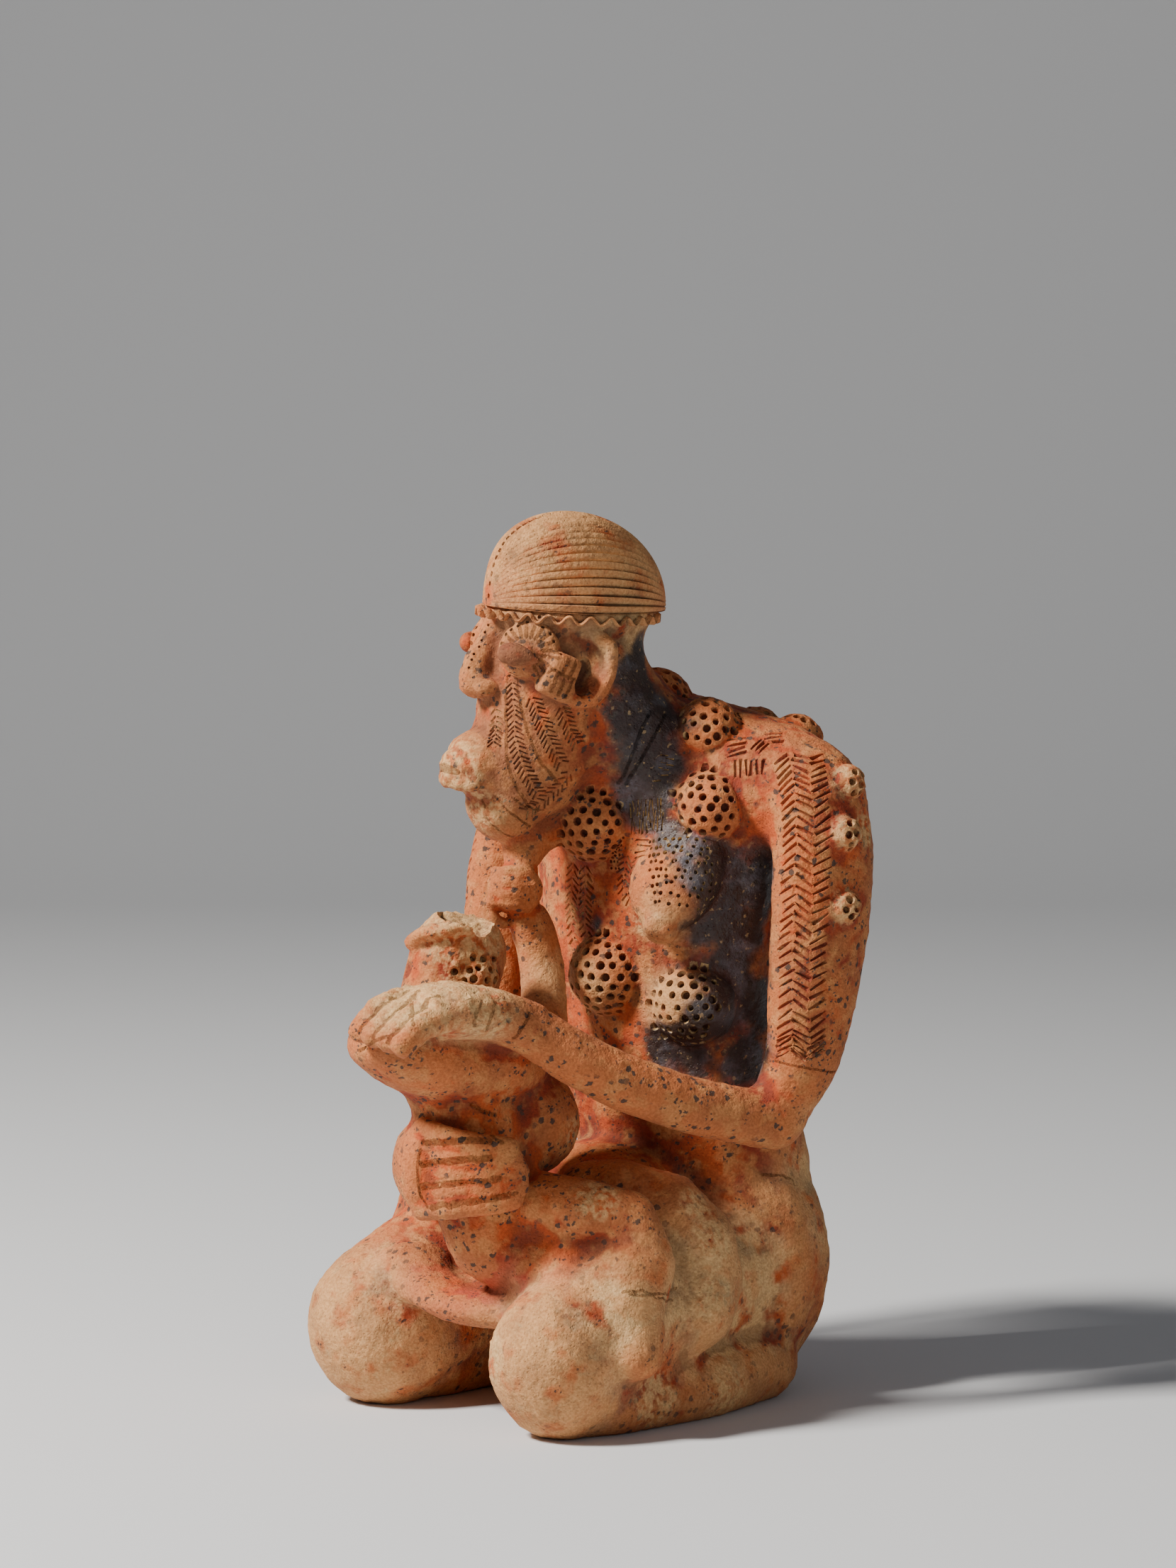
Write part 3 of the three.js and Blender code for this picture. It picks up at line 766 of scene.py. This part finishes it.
ARM_RING = [(98, 49, 174), (108, 53, 172), (112, 62, 170), (111, 78, 167)]
BELT = [(44, 84, 110), (48.4, 90.7, 104.1), (49.7, 92.4, 98)]
FOOT_RINGS = [
    [(91.6, -46.7, 71.7), (88, -30, 70), (82.7, -3.6, 67.4)],
    [(93.7, -44, 70.6), (90, -30, 67.5), (85, -8.7, 62.2)],
]
long_cuts = [
    [groove(path, 2.0, 1.3) for path in NECK_LINES],
    [groove(path, 2.0, 2.0) for path in LEFT_HAND_CUTS[:2]],
    [groove(path, 5.0, 1.2) for path in LEFT_HAND_CUTS[2:]],
    [groove(path, 2.2, 2.4) for path in LEFT_HAND_CUTS[2:]],
    [groove(path, 2.2, 2.0) for path in WRIST_CUTS],
    [groove(RIGHT_HAND_CUTS[0], 1.6, 1.6)],
    [groove(path, 4.2, 1.1) for path in RIGHT_HAND_CUTS[1:]],
    [groove(path, 2.0, 3.4) for path in RIGHT_HAND_CUTS[1:]],
    [groove(path, 2.4, 1.6) for path in CHILD_CUTS],
    [groove(path, 1.4, 1.2, on=HEAD) for path in CHIN_LINES],
    [groove(ARM_RING, 1.3, 1.2), groove(BELT, 1.8, 1.6), groove(FOOT_RINGS[0], 1.6, 1.3)],
    [groove(FOOT_RINGS[1], 1.4, 1.2)],
]
for tools in long_cuts:
    cut(figure, joined(tools, "cuts"))

# The face: rays round the eyes, rows of dots above them and down the nose, bars on the
# temple pads, the mouth slit and herringbone on the cheeks.
RAY_COUNT = 16
RAY_START, RAY_STEP = -20, 17.5  # degrees round the eye
RAY_REACHES = (7.2, 11.5, 15.8)
DOT_REACH = 17.5
PAD_BARS = [(2, -20, -28, 4.5), (3, -24, -37.5, 4.6)]  # count, y, z and spacing
PAD_LEAN = radians(25)
CHEEK_GROOVES = [
    [
        (14, -44, -22),
        (17, -45, -38),
        (18.5, -44, -55),
        (19.5, -43, -69),
        (20, -40, -82),
        (18.5, -30, -97),
    ],
    [(22, -41, -37), (24, -38, -50), (25, -33, -63), (26, -28, -74), (25, -18, -85)],
]
CHEEK_HATCH = [
    ([(19.5, -43, -34), (21, -41, -50), (22, -39, -65), (23, -34, -79), (22, -26, -91)], 2.5, 5.0),
    ([(26, -33, -44), (28, -28, -55), (28, -23, -66), (27, -16, -77)], 2.5, 5.4),
    ([(31, -19, -48), (31, -14, -58), (30, -8, -68)], 2.5, 5.4),
    ([(12, -51, -44), (14, -48, -58), (15, -47, -68)], 2.5, 4.4),
    ([(24, -12, -80), (18, -22, -92), (14, -32, -99)], 2.7, 5.4),
]
for s in (-1, 1):
    rays, holes = [], []
    back = EYE_SET_BACK[s]
    outward = Vector((s * 0.788, -0.616, 0))
    level = Vector((s * 0.616, 0.788, 0))
    middle = Vector((s * 24, -34 + back, -21)) + outward * 5
    for n in range(RAY_COUNT):
        turn = radians(RAY_START + n * RAY_STEP)
        arm = level * -cos(turn) + Vector((0, 0, 1)) * sin(turn)
        rays.append([tuple(middle + arm * reach) for reach in RAY_REACHES])
        if 0 <= turn <= radians(175):
            holes.append(middle + arm * DOT_REACH)
    stamps = []
    for hole in holes:
        spot, out = skin_at(HEAD @ (hole * MM))
        stamps.append(stamp_at(spot, out.orthogonal(), out, (1.3, 1.3, 1.8)))
    for n in range(7):
        share = n / 6
        place = Vector((s * (4 + 2.5 * share), -48 - 11 * share, -10 - 20 * share))
        spot, out = skin_at(HEAD @ (place * MM))
        stamps.append(stamp_at(spot, out.orthogonal(), out, (0.9, 0.9, 1.2)))
    cut(figure, stamped(point, stamps))
    tools = [groove(path, 2.0, 1.9, step=2.5, on=HEAD) for path in rays]
    cut(figure, joined(tools, "rays"))
    bars = []
    for count, y, z, spacing in PAD_BARS:
        for n in range(count):
            shift = (n - (count - 1) / 2) * spacing
            row_y, row_z = y + shift * cos(PAD_LEAN), z - shift * sin(PAD_LEAN)
            bars.append([(s * 42, row_y + up * 0.42, row_z + up * 0.9) for up in (-5.5, 0, 5.5)])
    tools = [groove(path, 2.2, 2.3, step=2.5, on=HEAD) for path in bars]
    cut(figure, joined(tools, "bars"))
    tools = []
    for path in CHEEK_GROOVES:
        tools.append(groove([(s * x, y, z) for x, y, z in path], 1.8, 2.0, on=HEAD))
    cut(figure, joined(tools, "grooves"))
    strokes = []
    for path, pitch, length in CHEEK_HATCH:
        path = [(s * x, y, z) for x, y, z in path]
        half = length * 0.44
        strokes += hatch(path, [(-half, 38), (half, -38)], pitch, length, 1.2, 1.0, on=HEAD)
    cut(figure, stamped(wedge, strokes))
    hollow = ball((s * 38, -10, -32), (11, 5.2, 10.5), 20, 12, turn=(-18, 0, 0), on=HEAD)
    cut(figure, hollow)
    split = [(s * 42, -34, -27), (s * 42, -22, -32.5), (s * 42, -10, -38)]
    cut(figure, groove(split, 1.6, 2.2, on=HEAD))
MOUTH = [
    (-6, -62, -80.8, 1.6, 8),
    (-1, -66, -79.8, 2.3, 9),
    (4, -65.5, -79.8, 2.3, 9),
    (8, -62, -80.6, 1.6, 8),
]
cut(figure, roll(MOUTH, deep=(0, 1, 0), around=10, rings=12, cap=2, on=HEAD))

# The child's head broke away above the mouth, and left a rough saddle over a narrow neck.
cut(figure, ball((-15, -102, 222), (13, 13, 10)))
broken = ball((9, -67, 261), (22, 22, 25), around=48, rings=32)
modify(broken, "DISPLACE", texture=lumps("break", 7 * MM, 3), strength=8 * MM, mid_level=0.5)
cut(figure, broken)

# A row of pits runs back from her brow along the top of the hair.
PARTING_PITS = 15
PARTING_FRONT, PARTING_HIGH = 42.4, 46  # the pits lie just outside the cap
holes = []
across = HEAD.to_3x3() @ Vector((1, 0, 0))
for n in range(PARTING_PITS):
    turn = radians(3 + n * 5.4)
    front = CAP_MIDDLE - PARTING_FRONT * cos(turn)
    high = PARTING_HIGH * sin(turn) ** 0.7 - CAP_DROP
    out = HEAD.to_3x3() @ Vector((0, -cos(turn), sin(turn)))
    holes.append(stamp_at(HEAD @ (Vector((1.5, front, high)) * MM), across, out, (1.4, 2.0, 3.0)))
cut(figure, stamped(point, holes))

# The reed is pressed into every knob last.
stamps = []
for spot, way, size in pits:
    sink = Matrix.Translation(way * -0.4 * MM)
    halves = (REED * size, REED * size, REED_DEPTH)
    stamps.append(sink @ stamp_at(spot, way.orthogonal(), way, halves))
cut(figure, stamped(reed, stamps))
for template in (wedge, reed, point):
    bpy.data.objects.remove(template)

# The figure stands flat, and nothing reaches outside the solid's box.
low, high = np.array(cad_box[0]), np.array(cad_box[1])
move_points(figure, np.clip(points_of(figure), low, high))
modify(figure, "TRIANGULATE")

# Marks for the material: how deep each point lies in a cut, how hollow or raised it is, and
# where smoke (with painted shade on the flank beside her arm), pale slip, red slip, the browner
# face and wear lie. Spots are (x, y, z, radius) in mm.
# Smoke-blackened spots; those on her flank facing the arm and inside the elbow also paint the shade
# that the arm casts there.
SOOT_AND_SHADE_SPOTS = [
    (33, 26, 372, 10),
    (36, 18, 356, 16),
    (36, 22, 338, 24),
    (32, 22, 314, 20),
    (32, 26, 296, 18),
    (46, 34, 278, 16),
    (60, 38, 262, 20),
    (68, 42, 240, 24),
    (72, 46, 216, 24),
    (66, 40, 192, 22),
    (56, 32, 174, 20),
    (78, 56, 176, 20),
    (40, 26, 178, 14),
    (80, 60, 262, 16),
    (6, 22, 236, 7),
    (28, 34, 236, 10),
    (66, 56, 228, 17),
    (65, 66, 196, 17),
    (62, 64, 168, 15),
    (66, 52, 256, 17),
    (72, 66, 252, 15),
    (38, 26, 314, 16),
]
CREAM_SPOTS = [
    (0, 10, 420, 50),
    (20, 10, 384, 26),
    (60, -72, 34, 40),
    (-62, -78, 34, 42),
    (80, 40, 60, 46),
    (76, -10, 70, 30),
    (40, 118, 90, 40),
    (30, -124, 212, 20),
    (40, -96, 210, 20),
    (50, 22, 240, 14),
    (2, 0, 204, 20),
    (50, 20, 196, 20),
    (-4, -64, 252, 22),
    (84, -44, 60, 24),
    (92, 64, 150, 14),
    (20, 40, 20, 70),
]
FACE_SPOTS = [(10, -40, 360, 34), (6, -44, 330, 34), (0, -52, 312, 24), (12, -30, 300, 30)]
RED_SPOTS = [
    (0, 96, 322, 44),
    (-6, -84, 62, 26),
    (28, -60, 66, 18),
    (30, 30, 385, 10),
    (-60, 80, 310, 30),
]


def paint(name, amounts):
    """Keeps the amounts on the figure's vertices, for the material to read."""
    layer = figure.data.attributes.new(name, "FLOAT", "POINT")
    layer.data.foreach_set("value", np.asarray(amounts, np.float32))


places = points_of(figure)
smooth = figure.copy()
smooth.data = figure.data.copy()
bpy.context.scene.collection.objects.link(smooth)
modify(smooth, "SMOOTH", factor=0.5, iterations=12)
hollow = ((points_of(smooth) - places) * normals_of(smooth)).sum(axis=1) / MM
bpy.data.objects.remove(smooth)
depth = np.zeros(len(places))
for n, place in enumerate(places):
    spot, facing, _, _ = skin.find_nearest(place)
    depth[n] = facing.dot(spot - Vector(place)) / MM
paint("cut", np.clip(depth, 0, 4))
paint("hollow", np.clip(hollow, -1.5, 1.5))
paint("soot_and_shade", near(places, SOOT_AND_SHADE_SPOTS, soft=1.5))
paint("cream", near(places, CREAM_SPOTS, soft=0.9))
paint("red", near(places, RED_SPOTS, soft=0.9))
paint("face", near(places, FACE_SPOTS, soft=0.9))
paint("wear", near(places, WORN_SPOTS))
pick(figure)
bpy.ops.object.shade_smooth_by_angle(angle=radians(40))

# Fired clay: orange and buff where the kiln burnt clear, black where smoke lay on it and, on
# the flank beside her arm, partly as painted shade, with a painted grey-blue sheen on the black,
# speckles of manganese, dust in the cuts, painted shade in the hollows and deep cuts, and a
# grain of crushed potsherd.
terracotta = bpy.data.materials.new("terracotta")
terracotta.use_nodes = True
nodes, links = terracotta.node_tree.nodes, terracotta.node_tree.links
clay = nodes["Principled BSDF"]
figure.data.materials.clear()
figure.data.materials.append(terracotta)


def tone(red, green, blue):
    """A paint colour in 0 to 255 as light."""
    return tuple((value / 255) ** 2.2 for value in (red, green, blue)) + (1,)


def node(kind, plugs=(), **settings):
    """A new node. Plugs are (input, value or socket)."""
    made = nodes.new("ShaderNode" + kind)
    for key, value in settings.items():
        setattr(made, key, value)
    for plug, value in plugs:
        if isinstance(value, bpy.types.NodeSocket):
            links.new(value, made.inputs[plug])
        else:
            made.inputs[plug].default_value = value
    return made


where = node("TexCoord").outputs["Object"]


def noise(size, detail=3, shift=0.0):
    """Cloudy noise, with lumps of a size in mm."""
    spot = node("VectorMath", [(0, where), (1, (shift, shift * 0.7, -shift))], operation="ADD")
    plugs = [("Vector", spot.outputs[0]), ("Scale", 1 / (size * MM)), ("Detail", detail)]
    return node("TexNoise", plugs).outputs[0]


def span(value, low, high):
    """0 below low and 1 above high, with a soft step between."""
    plugs = [("Value", value), ("From Min", low), ("From Max", high)]
    return node("MapRange", plugs, interpolation_type="SMOOTHSTEP").outputs[0]


def maths(operation, a, b):
    """A sum on two values or sockets."""
    return node("Math", [(0, a), (1, b)], operation=operation).outputs[0]


def mixed(amount, under, over):
    """The colour over laid on the colour under."""
    return node("Mix", [(0, amount), (6, under), (7, over)], data_type="RGBA").outputs[2]


def painted(name):
    """What paint kept under the name."""
    return node("Attribute", attribute_name=name).outputs["Fac"]


ORANGE = tone(192, 86, 38)
DEEP_ORANGE = tone(146, 56, 28)
BUFF = tone(202, 134, 80)
CREAM = tone(224, 182, 126)
GREY_CREAM = tone(176, 148, 106)
RED = tone(184, 80, 58)
FACE_BROWN = tone(152, 98, 64)
SOOT_AND_SHADE_BLACK = tone(38, 35, 36)
PAINTED_SHEEN = tone(98, 102, 112)
SPECK = tone(66, 56, 50)
DUST = tone(214, 180, 126)
SHADOW = tone(84, 48, 32)

colour = mixed(span(noise(30, 5), 0.4, 0.6), ORANGE, DEEP_ORANGE)
colour = mixed(maths("MULTIPLY", span(noise(10, 6, 0.3), 0.48, 0.66), 0.8), colour, BUFF)
redness = maths("MULTIPLY", painted("red"), span(noise(22, 4, 0.9), 0.3, 0.52))
colour = mixed(maths("MULTIPLY", redness, 0.85), colour, RED)
browned = maths("MULTIPLY", painted("face"), span(noise(12, 5, 1.3), 0.3, 0.5))
colour = mixed(maths("MULTIPLY", browned, 0.85), colour, FACE_BROWN)
slip = maths("MULTIPLY", painted("cream"), span(noise(14, 6, 1.7), 0.3, 0.5))
pale = mixed(span(noise(20, 5, 2.2), 0.45, 0.65), CREAM, GREY_CREAM)
colour = mixed(maths("MULTIPLY", slip, 0.9), colour, pale)
colour = mixed(maths("MULTIPLY", span(painted("hollow"), -0.05, -0.45), 0.5), colour, BUFF)

# Smoke lay on her neck, chest and flank; on the flank facing her arm the black is also a painted
# shade where the arm shades the body. Its edge is ragged, and dust dots it.
ragged = maths("MULTIPLY", maths("SUBTRACT", noise(16, 6, 3.1), 0.5), 1.1)
ragged_smoke_and_shade = maths("ADD", painted("soot_and_shade"), ragged)
smoke_and_shade = span(ragged_smoke_and_shade, 0.42, 0.85)
smoke_and_shade = maths("MULTIPLY", smoke_and_shade, span(painted("soot_and_shade"), 0.02, 0.3))
# Grey-blue patches in the black are a painted sheen, standing in for light on the polished smoked
# clay.
black = mixed(maths("MULTIPLY", span(noise(16, 3, 4.0), 0.5, 0.7), 0.75), SOOT_AND_SHADE_BLACK, PAINTED_SHEEN)
colour = mixed(maths("MULTIPLY", smoke_and_shade, 0.95), colour, black)

# Speckles are ragged cells that show only where a wider noise lets them.
WARP = (3.4 * MM, 3.4 * MM, 3.4 * MM)
plugs = [(0, noise(2.2, 3, 5.0)), (1, WARP), (2, where)]
warped = node("VectorMath", plugs, operation="MULTIPLY_ADD").outputs[0]


def speckles(apart, size, gate):
    """Dots on cells so many mm apart, where the gate lets them."""
    cells = node("TexVoronoi", [("Vector", warped), ("Scale", 1 / (apart * MM))])
    dots = span(cells.outputs["Distance"], size * 0.8, size)
    return maths("MULTIPLY", maths("SUBTRACT", 1.0, dots), gate)


specks = speckles(6.0, 0.28, span(noise(24, 2, 6.1), 0.44, 0.54))
specks = maths("MAXIMUM", specks, speckles(2.6, 0.3, span(noise(12, 2, 7.3), 0.5, 0.58)))
bare = maths("SUBTRACT", 1.0, maths("MULTIPLY", slip, 0.85))
colour = mixed(maths("MULTIPLY", maths("MULTIPLY", specks, bare), 0.9), colour, SPECK)

# Painted shade darkens the shallow cuts and the hollows, and dust lies in the shallow cuts of
# the smoked clay. The bottoms of the pits are painted darker still, as shade.
bottoms = span(painted("cut"), 1.2, 2.0)
shallow = maths("MULTIPLY", span(painted("cut"), 0.12, 0.4), maths("SUBTRACT", 1.0, bottoms))
shaded_hollows = maths("MAXIMUM", shallow, span(painted("hollow"), 0.12, 0.6))
colour = mixed(maths("MULTIPLY", shaded_hollows, 0.4), colour, SHADOW)
patchy = maths("MULTIPLY", span(noise(26, 3, 8.8), 0.52, 0.64), 0.5)
patchy = maths("ADD", maths("MULTIPLY", smoke_and_shade, 0.75), patchy)
patchy = maths("MULTIPLY", patchy, span(noise(3, 3, 8.1), 0.35, 0.55))
colour = mixed(maths("MULTIPLY", shallow, patchy), colour, DUST)
# Painted shade in the deep cuts and pits.
colour = mixed(maths("MULTIPLY", span(painted("cut"), 1.6, 2.5), 0.7), colour, SHADOW)
crumbs = maths("MULTIPLY", span(noise(3.0, 4, 9.6), 0.62, 0.7), maths("MULTIPLY", smoke_and_shade, 0.45))
colour = mixed(crumbs, colour, DUST)
bared = maths("MULTIPLY", span(noise(4, 5, 1.1), 0.4, 0.6), 0.7)
colour = mixed(maths("MULTIPLY", painted("wear"), bared), colour, CREAM)
grit = mixed(span(noise(1.3, 4, 2.9), 0.3, 0.7), tone(222, 212, 202), tone(255, 255, 255))
plugs = [(0, 1.0), (6, colour), (7, grit)]
colour = node("Mix", plugs, data_type="RGBA", blend_type="MULTIPLY").outputs[2]
links.new(colour, clay.inputs["Base Color"])

# Smoked clay keeps a slight polish, and the rest is matt with open pores.
shine = node("MapRange", [("Value", smoke_and_shade), ("To Min", 0.88), ("To Max", 0.5)]).outputs[0]
links.new(shine, clay.inputs["Roughness"])
grain = maths("MULTIPLY", noise(1.2, 3, 3.3), 0.22)
grain = maths("ADD", grain, maths("MULTIPLY", noise(4.5, 5, 4.4), 0.95))
pores = node("TexVoronoi", [("Vector", where), ("Scale", 1 / (1.9 * MM))]).outputs["Distance"]
pores = span(pores, 0.05, 0.3)
grain = maths("MULTIPLY", grain, maths("ADD", maths("MULTIPLY", pores, 0.3), 0.7))
bump = node("Bump", [("Height", grain), ("Strength", 0.9), ("Distance", 1.6 * MM)])
links.new(bump.outputs[0], clay.inputs["Normal"])

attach(figure, "root")
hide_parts("maternity_figure")

# A pale paper sweep lies under the figure and curves up behind it. Lengths of the sweep, the
# lights and the camera are in metres.
AZIMUTH = radians(47)  # from the front to the camera
SWEEP_WIDTH = 10
SWEEP_FRONT = 4.0
SWEEP_HEIGHT = 5.0
BEND_START = 2.6
BEND_RADIUS = 1.6
BEND_STEPS = 16
toward = Vector((sin(AZIMUTH), -cos(AZIMUTH), 0))
right = Vector((cos(AZIMUTH), sin(AZIMUTH), 0))
profile = [(SWEEP_FRONT, 0), (SWEEP_FRONT / 2, 0), (0, 0), (-BEND_START, 0)]
for step in range(1, BEND_STEPS + 1):
    turn = radians(90) * step / BEND_STEPS
    profile.append((-BEND_START - BEND_RADIUS * sin(turn), BEND_RADIUS * (1 - cos(turn))))
profile.append((-BEND_START - BEND_RADIUS, SWEEP_HEIGHT))
rows = []
for reach, height in profile:
    for side in (-1, 1):
        rows.append(tuple(toward * reach + right * side * SWEEP_WIDTH / 2 + Vector((0, 0, height))))
faces = [(2 * n, 2 * n + 1, 2 * n + 3, 2 * n + 2) for n in range(len(profile) - 1)]
mesh = bpy.data.meshes.new("sweep")
mesh.from_pydata(rows, [], faces)
sweep = bpy.data.objects.new("sweep", mesh)
bpy.context.scene.collection.objects.link(sweep)
pick(sweep)
bpy.ops.object.shade_smooth()
paper = bpy.data.materials.new("pale_paper")
paper.use_nodes = True
pulp = paper.node_tree.nodes["Principled BSDF"]
pulp.inputs["Base Color"].default_value = (0.68, 0.69, 0.71, 1)
pulp.inputs["Roughness"].default_value = 0.9
sweep.data.materials.append(paper)

# The light comes from high on the left of the view, and shadows fall to the right.
MIDDLE = Vector((0, 0, 0.22))
KEY_POWER = 142  # watts
FILL_POWER = 6
SKY_STRENGTH = 0.21


def area_light(name, place, size, power, colour):
    """A square light that faces the middle of the figure."""
    bpy.ops.object.light_add(type="AREA", location=place)
    light = bpy.context.object
    light.name = name
    light.data.size = size
    light.data.energy = power
    light.data.color = colour
    light.rotation_euler = (MIDDLE - Vector(place)).to_track_quat("-Z", "Y").to_euler()


area_light("key", (-0.6, -1.75, 1.95), 0.45, KEY_POWER, (1, 0.96, 0.9))
area_light("fill", (2.2, -0.6, 0.9), 1.6, FILL_POWER, (0.92, 0.96, 1))
world = bpy.data.worlds.new("studio")
world.use_nodes = True
sky = world.node_tree.nodes["Background"]
sky.inputs["Color"].default_value = (0.5, 0.52, 0.55, 1)
sky.inputs["Strength"].default_value = SKY_STRENGTH
bpy.context.scene.world = world

# The camera stands where the photographer's did, a little above the middle of the figure.
PITCH = radians(4)
CAMERA = (1.7411, -1.6070, 0.4708)
LENS = 111.6  # mm, on a sensor 36 mm wide
back = Vector((cos(PITCH) * sin(AZIMUTH), -cos(PITCH) * cos(AZIMUTH), sin(PITCH)))
up = back.cross(right)
bpy.ops.object.camera_add()
camera = bpy.context.object
turn = Matrix((right, up, back)).transposed().to_4x4()
camera.matrix_world = Matrix.Translation(CAMERA) @ turn
camera.data.sensor_width = 36
camera.data.lens = LENS
bpy.context.scene.camera = camera

bpy.context.view_layer.update()
